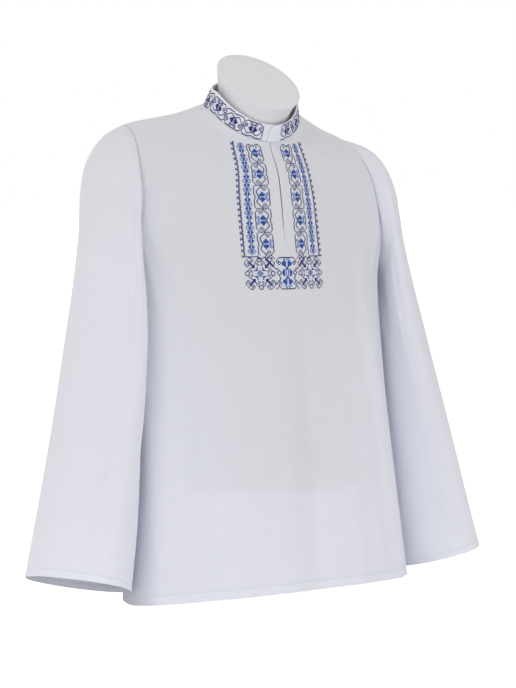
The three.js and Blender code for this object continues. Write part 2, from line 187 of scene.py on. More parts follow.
def at(rows, v):
    v = np.asarray(v, float)
    i = np.clip(np.floor(v).astype(int), 0, len(rows) - 2)
    beside = (rows[np.clip(i + k, 0, len(rows) - 1)] for k in (-1, 0, 1, 2))
    return between(*beside, (v - i)[..., None])


def ring_point(ring, angle):
    half, front, back, mid, z_front, z_side, z_back, square, dip, tip, fall = np.moveaxis(ring, -1, 0)
    s, c = np.sin(angle), np.cos(angle)
    k = (abs(s) ** square + abs(c) ** square) ** (-1 / square)
    reach = k * abs(c)
    x = half * k * s
    y = np.where(c > 0, front + fall * (1 - np.exp(-(x / BREAST_HALF) ** 2)), back)
    z = np.where(c > 0, z_front, z_back)
    return np.stack([x, mid + (y - mid) * reach,
                     z_side + (z - z_side) * reach ** dip - tip * k * s], -1)


def smooth(t):
    x = np.clip(t, 0, 1)
    return x * x * (3 - 2 * x)


def fold_height(folds, degrees, v):
    total = np.zeros(np.broadcast(degrees, v).shape)
    for a0, a1, top, foot, w0, w1, high in folds:
        t = (v - top) / (foot - top)
        off = ((degrees - a0 - (a1 - a0) * t + 180) % 360 - 180) / (w0 + (w1 - w0) * t)
        rise = high * smooth(t * 2.2) * smooth((1 - t) * 5) * np.exp(-off * off)
        total += np.where((t > 0) & (t < 1), rise, 0)
    return total


def unit(p):
    return p / np.maximum(np.linalg.norm(p, axis=-1, keepdims=True), 1e-12)


def normal_of(surface, a, v, turn):
    along_a = surface(a + 1e-3, v) - surface(a - 1e-3, v)
    along_v = surface(a, v + 1e-2) - surface(a, v - 1e-2)
    return unit(np.cross(along_v, along_a) * turn)


def shirt_base(a, v):
    return ring_point(at(SHIRT, v), a)


def shirt_point(a, v, folds=BODY_FOLDS):
    height = fold_height(folds, np.degrees(a), v)
    return shirt_base(a, v) + normal_of(shirt_base, a, v, 1) * height[..., None]


def armhole(v):
    t = (2 * v - SHOULDER_ROW - UNDERARM_ROW) / (UNDERARM_ROW - SHOULDER_ROW)
    return ARMHOLE * np.sqrt(np.clip(1 - t * t, 0, 1))


def on_body(side, angle):
    half = (UNDERARM_ROW - SHOULDER_ROW) / 2
    v = SHOULDER_ROW + half - half * np.cos(angle) * (1 - SEAM / 40)
    return side * (math.pi / 2 - np.sin(angle) * ARMHOLE), v


def sleeve_ring(side, k, angle):
    if k <= 0:
        return shirt_point(*on_body(side, angle))
    s, c = np.sin(angle), np.cos(angle)
    out_x, out_z, in_x, in_z, front, back, bend, lift, tip = SLEEVE[min(k, len(SLEEVE)) - 1]
    return np.stack([
        side * ((out_x + in_x) / 2 + (out_x - in_x) / 2 * c - bend * s * s),
        (front + back) / 2 + (front - back) / 2 * s,
        (out_z + in_z) / 2 + (out_z - in_z) / 2 * c + lift * s - tip * side], -1)


def sleeve_base(side, angle, u):
    """One ring of a sleeve: u is a single number."""
    i = min(max(int(math.floor(u)), 0), len(SLEEVE) - 1)
    return between(*(sleeve_ring(side, i + k, angle) for k in (-1, 0, 1, 2)), u - i)


def to_scene(points):
    return (np.asarray(points, float) - (0, STAND_Y, 0)) * 0.001


# ---- Meshes ----
def add_object(name, points, faces, uvs=None, sharp=50, colours=None, caps=()):
    """An object from points in the tables' millimetres. uvs are metres, one for each point.

    faces are quads, caps are triangles.
    """
    mesh = bpy.data.meshes.new(name)
    points = to_scene(points)
    quads, threes = np.asarray(faces, dtype=np.int32), np.asarray(caps, dtype=np.int32)
    corners = np.concatenate([quads.ravel(), threes.ravel()])
    starts = np.concatenate([np.arange(0, quads.size, 4), quads.size + np.arange(0, threes.size, 3)])
    mesh.vertices.add(len(points))
    mesh.vertices.foreach_set("co", points.ravel())
    mesh.loops.add(len(corners))
    mesh.loops.foreach_set("vertex_index", corners)
    mesh.polygons.add(len(starts))
    mesh.polygons.foreach_set("loop_start", starts.astype(np.int32))
    mesh.update(calc_edges=True)
    mesh.polygons.foreach_set("use_smooth", np.ones(len(starts), dtype=bool))
    if uvs is not None:
        layer = mesh.uv_layers.new(name="cloth")
        layer.data.foreach_set("uv", np.asarray(uvs, float)[corners].ravel())
    if colours is not None:
        shade = mesh.color_attributes.new("shade", "FLOAT_COLOR", "POINT")
        shade.data.foreach_set("color", np.asarray(colours, float).ravel())
    mesh.validate()
    mesh.set_sharp_from_angle(angle=math.radians(sharp))
    made = bpy.data.objects.new(name, mesh)
    bpy.context.scene.collection.objects.link(made)
    return made


def grid_faces(index, closed=False):
    """Quads over an array of point numbers, rows downwards and columns to the wearer's left."""
    if closed:
        index = np.concatenate([index, index[:, :1]], axis=1)
    corners = [index[:-1, :-1], index[1:, :-1], index[1:, 1:], index[:-1, 1:]]
    return np.stack(corners, -1).reshape(-1, 4)


def numbered(points):
    """The number of each point of a grid."""
    return np.arange(points.shape[0] * points.shape[1]).reshape(points.shape[:2])


def tree_of(points, faces):
    """What rays are cast at, in metres."""
    return BVHTree.FromPolygons([Vector(p) for p in to_scene(points)], faces.tolist())


def run_length(path):
    """The length of a path up to each of its points."""
    return np.concatenate([[0], np.cumsum(np.linalg.norm(np.diff(path, axis=0), axis=1))])


def shell(outer, inner, faces):
    """A closed wall: the outer faces, the inner ones turned round, and a rim along each free edge."""
    count = len(outer)
    edges = np.concatenate([faces[:, [k, (k + 1) % 4]] for k in range(4)])
    key = np.sort(edges, axis=1)
    _, first, number = np.unique(key[:, 0].astype(np.int64) * count + key[:, 1],
                                 return_index=True, return_counts=True)
    free = edges[first[number == 1]]
    rim = np.stack([free[:, 1], free[:, 0], free[:, 0] + count, free[:, 1] + count], -1)
    return np.concatenate([outer, inner]), np.concatenate([faces, faces[:, ::-1] + count, rim])


def eased(start, end, count):
    return start + (end - start) * (1 - np.cos(np.linspace(0, math.pi, count + 1))) / 2


def arc_uv(points, closed=False):
    """Distances along the rows and down the columns of a grid, in metres."""
    across = np.linalg.norm(np.diff(points, axis=1), axis=-1)
    down = np.linalg.norm(np.diff(points, axis=0), axis=-1).mean(axis=1)
    u = np.concatenate([np.zeros((len(points), 1)), np.cumsum(across, axis=1)], axis=1)
    u -= u[:, [u.shape[1] // 2]]
    v = -np.concatenate([[0], np.cumsum(down)])[:, None] * np.ones(points.shape[1])
    return np.stack([u, v], -1) * 0.001


# ---- The display form ----
def form_grid(rows, cols):
    foot = len(FORM) - 1
    v = np.concatenate([[0, 0.02, 0.05], np.linspace(0.1, foot - 0.1, rows), [foot - 0.04, foot]])
    a = np.linspace(0, 2 * math.pi, cols, endpoint=False)
    return ring_point(at(FORM, v)[:, None, :], a[None, :])


def capped(rings, steps=6):
    """A closed solid from rings of points, with each end closed by rings that shrink to its middle."""
    def lid(ring):
        middle = ring.mean(axis=0)
        return np.array([middle + (ring - middle) * (1 - 0.999 * k / steps) for k in range(1, steps + 1)])
    return np.concatenate([lid(rings[0])[::-1], rings, lid(rings[-1])])


form_rings = form_grid(110, 120)
# The neck's cut face has a softly rounded edge.
EDGE_INSET, EDGE_DROP, EDGE_SHARE = 0.975, 0.7, 0.45
edge = form_rings[0]
inset = edge.mean(axis=0) + (edge - edge.mean(axis=0)) * EDGE_INSET
lower = edge + (form_rings[3] - edge) * EDGE_SHARE
form_rings = np.concatenate([[inset, edge - (0, 0, EDGE_DROP), lower], form_rings[3:]])
form_points = capped(form_rings)
form_flat = form_points.reshape(-1, 3)
form_faces = grid_faces(numbered(form_points), closed=True)
dress_form = add_object("dress_form_smooth", form_flat, form_faces, sharp=60)
FORM_TREE = tree_of(form_flat, form_faces)


def painted_form_shade(points, normals):
    """Painted shade on the cloth at each point, from 0 to 1: greyer where the form stands close behind
    the thin cloth and blocks the light that would pass through it.
    """
    shape = points.shape[:-1]
    places = to_scene(points.reshape(-1, 3))
    inward = -normals.reshape(-1, 3)
    found = np.zeros(len(places))
    for k, (place, way) in enumerate(zip(places, inward)):
        hit = FORM_TREE.ray_cast(Vector(place), Vector(way), 0.09)
        if hit[0] is not None:
            found[k] = math.exp(-max(hit[3] * 1000 - 6, 0) / 60)
    found = found.reshape(shape)
    for _ in range(4):
        padded = np.pad(found, 1, mode="edge")
        found = (padded[:-2, 1:-1] + padded[2:, 1:-1] + padded[1:-1, :-2] + padded[1:-1, 2:]
                 + 2 * padded[1:-1, 1:-1]) / 6
    return found


def shade_colours(form_shade, doubled_shade):
    """The cloth's painted shade as a colour for each point: red holds the shade of the form behind the
    cloth, green the shade of the doubled hem.
    """
    blank = np.zeros_like(form_shade)
    return np.stack([form_shade, doubled_shade, blank, blank + 1], -1)


# ---- The body panels ----
BODY_HEM = HEM_ROW - HEM_DEPTH / (SHIRT[8, 5] - SHIRT[9, 5])
PANEL_ROWS = np.concatenate([
    np.linspace(0, SHOULDER_ROW, 37),
    eased(SHOULDER_ROW, UNDERARM_ROW, 60)[1:],
    np.linspace(UNDERARM_ROW, BODY_HEM - 0.02, 78)[1:],
    BODY_HEM + np.array([-0.010, -0.004, 0.0, 0.004, 0.010]),
    np.linspace(BODY_HEM + 0.02, HEM_ROW, 10),
])


def panel_grid(cols):
    """Angles of a body panel's points from its middle, and the angle of its edge at each row."""
    v = PANEL_ROWS[:, None]
    side = math.pi / 2 - armhole(v) - SEAM / at(SHIRT, v)[..., 0]
    core = np.linspace(-CORE, CORE, 2 * cols + 1)[None, :] + 0 * v
    share = np.linspace(0, 1, 25)[None, 1:]
    rim = CORE + (side - CORE) * share
    angles = np.concatenate([-rim[:, ::-1], core, rim], axis=1)
    return angles, side


def seam_dip(beyond_mm, wide=4.0, deep=1.4):
    return -deep * np.exp(-((beyond_mm - 2) / wide) ** 2)


HEM_ROW_MM, CUFF_ROW_MM = 150, 130  # about how long one row is at the hem and at the cuff
STITCH_DIP, STITCH_HALF = 0.55, 1.6  # the groove along a line of stitching
PUCKER_BELOW, PUCKER_HALF = 4, 9  # where the cloth puckers, from the stitching


def hem_height(from_hem, ripple):
    """A hem's stitching draws the cloth in a little and puckers it."""
    return (ripple * np.exp(-((from_hem - PUCKER_BELOW) / PUCKER_HALF) ** 2)
            - STITCH_DIP * np.exp(-(from_hem / STITCH_HALF) ** 2))


SLIT_RISE = (98, 80)  # the slit's height is the first times t and the second times t * t
SLIT_GAPE, SLIT_TOP_GAP, SLIT_ROLL = 3.2, 0.2, 0.45
LOOSE_SHARE, SLEEVE_SHARE = 0.7, 0.8  # how much of the form's painted shade loose cloth loses, and how much of it a sleeve keeps


def panel(name, centre, cols, slit=False):
    angles, side = panel_grid(cols)
    v = PANEL_ROWS[:, None] + 0 * angles
    a = angles + centre
    base = shirt_point(a, v)
    normals = normal_of(shirt_point, a, v, 1)
    half = at(SHIRT, v)[..., 0]
    height = fold_height(BODY_CREASES, np.degrees(a), v)
    to_edge = (side - abs(angles)) * half
    by_arm = smooth((v - SHOULDER_ROW) / 0.7) * smooth((UNDERARM_ROW - v) / 0.6)
    height = height * (0.25 + 0.75 * smooth(to_edge / 25))
    height += by_arm * seam_dip(to_edge)
    height += smooth((v - UNDERARM_ROW) / 0.3) * seam_dip(to_edge, 2.5, 0.6)
    ripple = np.sin(angles * half / 5.5 + 1.3 * np.sin(angles * half / 23))
    height += hem_height((v - BODY_HEM) * HEM_ROW_MM, 0.22 * ripple)
    base = base + normals * height[..., None]
    middle = base.shape[1] // 2
    number = numbered(base)
    extra = extra_normals = np.zeros((0, 3))
    if slit:
        z = base[:, middle, 2]
        rows = np.nonzero(z > SLIT_FOOT_Z)[0]
        up = z[rows] - SLIT_FOOT_Z
        first, second = SLIT_RISE
        t = (np.sqrt(first ** 2 + 4 * second * up) - first) / (2 * second)
        gape = SLIT_GAPE * t * (1 - t) + SLIT_TOP_GAP * t * t
        # The slit's edges are turned under, and roll out a little.
        roll = SLIT_ROLL * smooth(up / 20)
        for step in (-3, -2, -1, 1, 2, 3):
            base[rows, middle + step, 1] -= roll * (1.2 - 0.3 * abs(step))
        aside = gape[:, None] * (1, 0, 0)
        extra = base[rows, middle] + aside
        base[rows, middle] -= aside
        extra_normals = normals[rows, middle]
    flat = np.concatenate([base.reshape(-1, 3), extra])
    flat_normals = np.concatenate([normals.reshape(-1, 3), extra_normals])
    thick = np.where(v > BODY_HEM, HEM_CLOTH, CLOTH).ravel()
    thick = np.concatenate([thick, np.full(len(extra), CLOTH)])
    right = number.copy()
    if slit:
        right[rows, middle] = number.size + np.arange(len(rows))
    faces = np.concatenate([grid_faces(number[:, :middle + 1]), grid_faces(right[:, middle:])])
    # The form's painted shade fades on the loose lower sides, which hang farther from the form than its
    # middle does.
    loose = smooth((abs(np.degrees(angles) + 15) - 31) / 16) * smooth((v - UNDERARM_ROW) / 1.5)
    form_shade = painted_form_shade(base, normals) * (1 - LOOSE_SHARE * loose)
    # Painted shade on the doubled hem, where less light passes through the cloth.
    doubled_shade = smooth((v - BODY_HEM) / 0.02)
    tint = shade_colours(form_shade, doubled_shade).reshape(-1, 4)
    uv = arc_uv(base).reshape(-1, 2)
    if slit:
        tint = np.concatenate([tint, tint.reshape(base.shape[:2] + (4,))[rows, middle]])
        uv = np.concatenate([uv, uv.reshape(base.shape[:2] + (2,))[rows, middle]])
    points, faces_all = shell(flat, flat - flat_normals * thick[:, None], faces)
    made = add_object(name, points, faces_all, np.tile(uv, (2, 1)), colours=np.tile(tint, (2, 1)))
    return made, base, normals, flat, faces


front, front_grid, front_normals, front_flat, front_faces = panel("shirt_front", 0.0, 72, slit=True)
back, back_grid, back_normals, _, _ = panel("shirt_back", math.pi, 64)

# ---- The sleeves ----
CUFF = len(SLEEVE) - CUFF_DEPTH / (SLEEVE[-2, 1] - SLEEVE[-1, 1])
SLEEVE_ROWS = np.concatenate([
    np.linspace(0, 1, 24) ** 1.5,
    np.linspace(1, CUFF - 0.02, 128)[1:],
    CUFF + np.array([-0.010, -0.004, 0.0, 0.004, 0.010]),
    np.linspace(CUFF + 0.02, len(SLEEVE), 9),
])


SLEEVE_COLS = 120
SWELL = 1.5  # how far a sleeve swells beyond its armhole's seam
ARM_SEAM_DIP = 0.6  # the seam along the inside of the arm


def sleeve(name, side):
    angle = np.linspace(0, 2 * math.pi, SLEEVE_COLS, endpoint=False)
    rings, normals = [], []
    for u in SLEEVE_ROWS:
        ring = sleeve_base(side, angle, u)
        if u > 0:
            normal = normal_of(lambda a, w: sleeve_base(side, a, w), angle, u, -side)
        else:
            normal = normal_of(shirt_point, *on_body(side, angle), 1)
        height = fold_height(SLEEVE_FOLDS, np.degrees(angle), u)
        height = height + fold_height(SLEEVE_CREASES, np.degrees(angle), u)
        low = 0.35 + 0.65 * (1 - np.cos(angle)) / 2
        height = height + SWELL * low * smooth(u / 0.35) * smooth((1.6 - u) / 1.2)
        off = np.degrees(angle) - 180
        height = height - ARM_SEAM_DIP * np.exp(-(off / STITCH_HALF) ** 2) * smooth(u / 0.5)
        ripple = np.sin(angle * 23 + 1.1 * np.sin(angle * 5))
        height = height + hem_height((u - CUFF) * CUFF_ROW_MM, 0.2 * ripple)
        rings.append(ring + normal * height[..., None])
        normals.append(normal)
    rings, normals = np.array(rings), np.array(normals)
    u = SLEEVE_ROWS[:, None] + 0 * angle
    thick = np.where(u > CUFF, HEM_CLOTH, CLOTH)
    faces = grid_faces(numbered(rings), closed=True)
    if side > 0:
        faces = faces[:, ::-1]
    # Painted shade where the form stands behind the sleeve, at SLEEVE_SHARE of its strength.
    form_shade = painted_form_shade(rings, normals) * SLEEVE_SHARE
    # The cuff's doubled hem gets its painted shade too.
    tint = shade_colours(form_shade, smooth((u - CUFF) / 0.02)).reshape(-1, 4)
    flat = rings.reshape(-1, 3)
    inner = flat - normals.reshape(-1, 3) * thick.reshape(-1, 1)
    points, faces_all = shell(flat, inner, faces)
    uv = arc_uv(rings).reshape(-1, 2)
    made = add_object(name, points, faces_all, np.tile(uv, (2, 1)), colours=np.tile(tint, (2, 1)))
    return made, rings, normals


sleeve_left, left_rings, left_normals = sleeve("shirt_sleeve_left", 1)
sleeve_right, right_rings, right_normals = sleeve("shirt_sleeve_right", -1)

# ---- The collar ----
NECK_RADIUS = SHIRT[0, 0]
COLLAR_START = UNDER_PAST / NECK_RADIUS
COLLAR_END = -2 * math.pi - FLAP_PAST / NECK_RADIUS
COLLAR_SHADE = (1.0, 0.4, 0.0, 1.0)  # painted shade on the band: the form's full shade and part of the doubled hem's; the band is doubled over the form's neck


def collar_frame(angle):
    """The band's foot, its direction up, its length and its direction out at each angle."""
    foot = ring_point(SHIRT[0], angle)
    top = ring_point(COLLAR_TOP, angle)
    up = unit(top - foot)
    along = ring_point(SHIRT[0], angle + 0.01) - ring_point(SHIRT[0], angle - 0.01)
    out = unit(np.cross(along, up))
    long = np.linalg.norm(top - foot, axis=-1)
    from_end = np.minimum(COLLAR_START - angle, angle - COLLAR_END) * NECK_RADIUS
    turn = FLAP_ROUND - np.minimum(from_end, FLAP_ROUND)
    drop = FLAP_ROUND - np.sqrt(np.maximum(FLAP_ROUND ** 2 - turn ** 2, 0))
    rise = FLAP_RISE * (1 - smooth((angle - COLLAR_END) / 0.9))
    return foot, up, long - drop, out, rise, from_end


def collar_surface(angle, height, lift=0.0):
    """A point on the band's outer face, height millimetres above its foot."""
    foot, up, _, out, rise, _ = collar_frame(angle)
    return foot + up * (height + SEAM)[..., None] + out * (rise + lift)[..., None]


def make_collar():
    mm = np.concatenate([[0, 0.12, 0.4, 0.8, 1.3], np.arange(2, FLAP_ROUND + 2, 0.8)]) / NECK_RADIUS
    body = np.linspace(COLLAR_START - mm[-1] - 0.02, COLLAR_END + mm[-1] + 0.02, 300)
    angle = np.concatenate([COLLAR_START - mm, body, (COLLAR_END + mm)[::-1]])
    foot, up, long, out, rise, from_end = collar_frame(angle)
    slim = np.sqrt(1 - (1 - np.clip(from_end / 1.1, 0, 1)) ** 2) * 0.96 + 0.04
    r = BAND / 2
    loops = []
    for h in np.concatenate([[0.0, 0.02], np.linspace(0.05, 1, 18)]):
        edge_in = 0.25 * math.exp(-(h / 0.02) ** 2)
        loops.append(((long - r) * h, r - edge_in + 0 * long))
    for k in range(1, 6):
        turn = math.pi * k / 6
        loops.append((long - r + r * math.sin(turn), r * math.cos(turn) + 0 * long))
    for h in np.linspace(1, 0, 12):
        loops.append(((long - r) * h, -r + 0 * long))
    points = np.array([foot + up * (high + SEAM)[:, None] + out * (rise - r + side * slim)[:, None]
                       for high, side in loops])
    index = numbered(points)
    closed = np.concatenate([index, index[:1]], axis=0)
    faces = grid_faces(closed)[:, ::-1]
    centre = points.mean(axis=0)
    flat = np.concatenate([points.reshape(-1, 3), centre[[0]], centre[[-1]]])
    first, last = index.size, index.size + 1
    caps = []
    count = len(points)
    for k in range(count):
        n = (k + 1) % count
        caps.append((index[k, 0], index[n, 0], first))
        caps.append((index[n, -1], index[k, -1], last))
    u = np.cumsum(np.concatenate([[0], abs(np.diff(angle))])) * NECK_RADIUS * 0.001
    v = np.array([np.mean(high) + (0 if side[0] > 0 else 60) for high, side in loops]) * 0.001
    uv = np.stack(np.broadcast_arrays(u[None, :], v[:, None]), -1).reshape(-1, 2)
    uv = np.concatenate([uv, [[0, 0], [0, 0]]])
    return add_object("shirt_collar", flat, faces, uv, 55, np.tile(COLLAR_SHADE, (len(flat), 1)), caps)


collar = make_collar()

# ---- Charts: V is the vine, N its navy outlines, B blue and b light blue thread ----
# A flower in one bend of the vine, written for the wearer's right. The next one is its mirror image.
VINE = """
..N.NNN.VV.NNN.N..
.N......V.N...N...
N......V.N..N..N..
N.....V..N.N.N..N.
N....V....N..N...N
N...V......NN....N
N..V.............N
N..V.....B.......N
N..V....BBB...bb.N
N...V..BBBBB.b..bN
.N..V.BBBBBBB.bb.N
.N...V.BBBBB..b..N
.N...VB......Bb..N
.N...V.BBBBB..b..N
.N..V.BBBBBBB.bb.N
N...V..BBBBB.b..bN
N..V....BBB...bb.N
N..V.....B.......N
N..V.............N
N...V......NN....N
N....V....N..N...N
N.....V..N.N.N..N.
N......V.N..N..N..
.N......V.N...N...
"""
# The vine's upper end, in place of the first rows of its first bend.
VINE_END = """
..................
..................
..................
..NNN......NNNN...
.N...N.NN.N....N..
N..N.N.N.N..N...N.
"""
# The narrow band: leaf pairs, joined by rings or by a point.
LEAVES = """
.bb.B.bb.
b..BBB..b
b..BBB..b
.bb.B.bb.
...B.B...
..BB.BB..
.BBB.BBB.
..BB.BB..
...B.B...
.bb.B.bb.
b..BBB..b
b..BBB..b
.bb.B.bb.
...B.B...
..BB.BB..
.BBB.BBB.
..BB.BB..
...B.B...
....B....
...B.B...
..BB.BB..
.BBB.BBB.
..BB.BB..
...B.B...
"""
LEAF_TIP = """
...b.b...
....b....
"""
BORDER = """
N.N.
NNNN
N.N.
..NN
...N
..NN
"""
# A quarter of a rosette, with its middle at the upper left.
ROSETTE = """
.B.B........N...N
B.B......N..N...N
.B......N..N.NNN.
B..BBBB..NN..N...
...BB.......N....
...B......NN.....
...B..NNNN.......
......NNN....NN..
..N...NNNN..N..N.
.N.N..N.NNN.N.N.N
...N.N...NNN.N..N
..N..N....NNN...N
NN..N...NN.NN..N.
..NN...N..N..N...
..N....N.N....N..
..N.....N...N....
NN.......NNN.....
"""
# Half of the medallion between the rosettes, with its middle at the left.
MEDALLION = """
NNNNNNNNN.....
.bb......N....
b..b......N...
..bb.......N..
.BBB....NN.N..
.BBBBB.N.N.N..
.BBBBB.N..N...
.BBBBB..NN....
.BBBB.........
.BB...........
B.............
BB.........V..
B..B......V...
.B.BB....V....
.B.BBB..V.V...
.B.BBB.V...V..
.B.BBB.V...V..
.B.BBB..V.V...
.B.BB....V....
B..B.....V....
B.......V.....
BB......V.....
.BB.....V.....
.BBBB....V....
.BBBBB...NV...
.BBBBB..N..V..
.BBBB..N.N..V.
.BB....N..N..V
..bb....N.N...
b..b......N...
.bb......N.N..
.b......N...N.
NNNNNNNN.....N
"""
# Where the bands run into the block: half of it, with the middle at the left. The last three rows
# lie on the block's first ones.
CORNER = """
................NNN...V........N
...............N...NN..V.......N
..............N..N...N.VNNN.....
.............N..NN...NVN...NNNNN
............N.........VN.N.N....
...........N.........V..N..N....
....................V....NN.....
...................V............
..................V.............
.................V..............
................V...............
...............V................
..............V.................
.............V..................
............V...................
"""


def chart(text):
    return [list(row) for row in text.split()]


SIDE_ROWS = 121  # rows of the two bands beside the slit
BLOCK_ROWS = 33  # rows of the block of rosettes and medallion
BLOCK_TOP = SIDE_ROWS + 2
CHART_ROWS = BLOCK_TOP + BLOCK_ROWS
HALF_COLS = 50
VINE_COL, LEAF_COL, BORDER_COL = 13, 33, 45  # first column of each band, from the slit
ROSETTE_COL = 30  # middle column of a rosette


def front_chart():
    """The whole front: from (column, row) to a thread. Columns 0 and -1 lie beside the slit."""
    cells = {}

    def put(side, col, row, thread):
        key = (col if side > 0 else -1 - col, row)
        if thread != "." and key not in cells:
            cells[key] = thread

    vine, leaves, border = chart(VINE), chart(LEAVES), chart(BORDER)
    rosette, medallion, corner = chart(ROSETTE), chart(MEDALLION), chart(CORNER)
    first_bend = chart(VINE_END) + vine[5:]
    for side in (-1, 1):
        for row in range(SIDE_ROWS):
            line = first_bend[row] if row < len(first_bend) else vine[(row - 1) % 24]
            mirrored = (max(row - 1, 0) // 24) % 2 == 0
            for k, thread in enumerate(line[::-1] if mirrored else line):
                put(side, VINE_COL + k, row, thread)
            for k, thread in enumerate(leaves[(row + 5) % 24]):
                if 1 < row < SIDE_ROWS - 2:
                    put(side, LEAF_COL + k, row, thread)
        for row, line in enumerate(chart(LEAF_TIP)):
            for k, thread in enumerate(line):
                put(side, LEAF_COL + k, SIDE_ROWS - 2 + row, thread)
        for row in range(SIDE_ROWS + 1):
            for k, thread in enumerate(border[(row + 5) % 6][::-1]):
                put(side, BORDER_COL + k, row, thread)
        for k in range(VINE_COL + 18, BORDER_COL + 4):
            put(side, k, SIDE_ROWS + 1, "N")
        for row, line in enumerate(corner):
            for k, thread in enumerate(line):
                if row < 4 or thread == "V":
                    put(side, k, SIDE_ROWS + row, thread)
        for row in range(-16, 17):
            for col in range(-16, 17):
                put(side, ROSETTE_COL + col, BLOCK_TOP + 16 + row, rosette[abs(row)][abs(col)])
        for row, line in enumerate(medallion):
            for k, thread in enumerate(line):
                put(side, k, BLOCK_TOP + row, thread)
    return cells


# ---- Stitches ----
def strip_faces(count, start):
    """Faces of many strips of 4 by 3 points, the first point being number start."""
    quads = grid_faces(np.arange(12).reshape(4, 3))[:, ::-1]
    return (quads[None] + 12 * np.arange(count)[:, None, None]).reshape(-1, 4) + start


def stitches(name, picked, wide, high):
    """Cross stitches as one mesh. picked holds each cell's corners, down then across, and its normal."""
    corners = np.array([p[0] for p in picked])
    normals = unit(np.array([p[1] for p in picked]))
    steps = np.linspace(0, 1, 4)
    arch = np.array([0.25, 0.9, 0.9, 0.25])
    points, faces = [], []
    for leg, lift in ((0, 0.0), (1, 0.35)):
        start = corners[:, 0, 0] if leg == 0 else corners[:, 0, 1]
        end = corners[:, 1, 1] if leg == 0 else corners[:, 1, 0]
        along = end - start
        side = unit(np.cross(along, normals)) * wide / 2
        legs = []
        for t, rise in zip(steps, arch):
            middle = start + along * (0.06 + 0.88 * t)
            lifted = middle + normals * (high * rise + lift * high * (rise > 0.5))
            slim = 0.75 if t in (0, 1) else 1.0
            legs.append(np.stack([middle - side * slim + normals * 0.08, lifted,
                                  middle + side * slim + normals * 0.08], 1))
        points.append(np.stack(legs, 1).reshape(-1, 3))
        faces.append(strip_faces(len(corners), leg * 12 * len(corners)))
    return add_object(name, np.concatenate(points), np.concatenate(faces), sharp=80)


FRONT_TREE = tree_of(front_flat, front_faces)


def on_front(x, z):
    """The point of the front and its normal at x and z, in the tables' millimetres."""
    hit = FRONT_TREE.ray_cast(Vector((x * 0.001, -0.6, z * 0.001)), Vector((0, 1, 0)))
    if hit[0] is None:
        return None, None
    place = np.array(hit[0]) * 1000 + (0, STAND_Y, 0)
    normal = np.array(hit[1])
    return place, normal * (-1 if normal[1] > 0 else 1)


CHART_FOOT_Z = 479.0  # lower edge of the embroidery
CHART_MID_X = 40.0  # where its rows are spaced along the cloth
EASED_ROWS, EASED = 70, 0.10  # the cloth is eased into the collar, which draws the columns together
FIRM = 0.975  # how much the stitches draw them together all the way down
LATTICE_TOP_Z, LATTICE_HALF = 716.0, 95.0  # how far the front is measured up and to each side
SLIT_CLEAR = 0.6  # the nearest it is measured to the slit's line


def front_lattice():
    """Corners of every cell: rows from the top, columns from -HALF_COLS to HALF_COLS."""
    heights = np.arange(CHART_FOOT_Z, LATTICE_TOP_Z, 1.0)
    ys = []
    for z in heights:
        found = [on_front(side * CHART_MID_X, z)[0] for side in (-1, 1)]
        found = [p[1] for p in found if p is not None]
        ys.append(np.mean(found) if found else np.nan)
    ys = np.array(ys)
    keep = ~np.isnan(ys)
    length = run_length(np.stack([heights[keep], ys[keep]], -1))
    levels = np.interp(np.arange(CHART_ROWS + 1)[::-1] * PITCH, length, heights[keep])
    lattice = np.full((CHART_ROWS + 1, 2 * HALF_COLS + 1, 3), np.nan)
    normals = np.zeros_like(lattice)
    for r, z in enumerate(levels):
        pitch = PITCH * (FIRM - EASED * smooth((EASED_ROWS - r) / EASED_ROWS))
        for side in (-1, 1):
            xs = np.arange(SLIT_CLEAR, LATTICE_HALF, 1.0)
            hits = [on_front(side * x, z)[0] for x in xs]
            good = [k for k, p in enumerate(hits) if p is not None]
            track = np.array([hits[k] for k in good])
            run = xs[good[0]] + run_length(track[:, :2])
            for c in range(0, HALF_COLS + 1):
                x = np.interp(c * pitch, run, abs(track[:, 0])) if c else SLIT_CLEAR
                place, normal = on_front(side * x, z)
                if place is not None:
                    lattice[r, HALF_COLS + side * c] = place
                    normals[r, HALF_COLS + side * c] = normal
    return lattice, normals


lattice, lattice_normals = front_lattice()
threads = {"V": [], "N": [], "B": [], "b": []}
for (col, row), thread in front_chart().items():
    c = col + HALF_COLS
    if not (0 <= c < 2 * HALF_COLS and 0 <= row < lattice.shape[0] - 1):
        continue
    cell = lattice[row:row + 2, c:c + 2]
    if np.isnan(cell).any():
        continue
    threads[thread].append((cell, lattice_normals[row, c]))


stitch_vine = stitches("stitches_front_vine", threads["V"], 1.5, 0.55)
stitch_navy = stitches("stitches_front_navy", threads["N"], 1.05, 0.45)
stitch_blue = stitches("stitches_front_blue", threads["B"], 1.4, 0.5)
stitch_light = stitches("stitches_front_light", threads["b"], 1.05, 0.45)

# The collar's vine is the same chart turned on its side, all in navy.
COLLAR_ROWS = 18
COLLAR_FOOT = 0.9  # bare cloth below it
COLLAR_MIDDLE = 16.0  # the height along which its stitches are spaced
COLLAR_PITCH = 1.34  # the band's stitches are a little finer
COLLAR_PLAIN_UNDER, COLLAR_PLAIN_FLAP = 14.0, 16.0  # bare cloth from the centre front


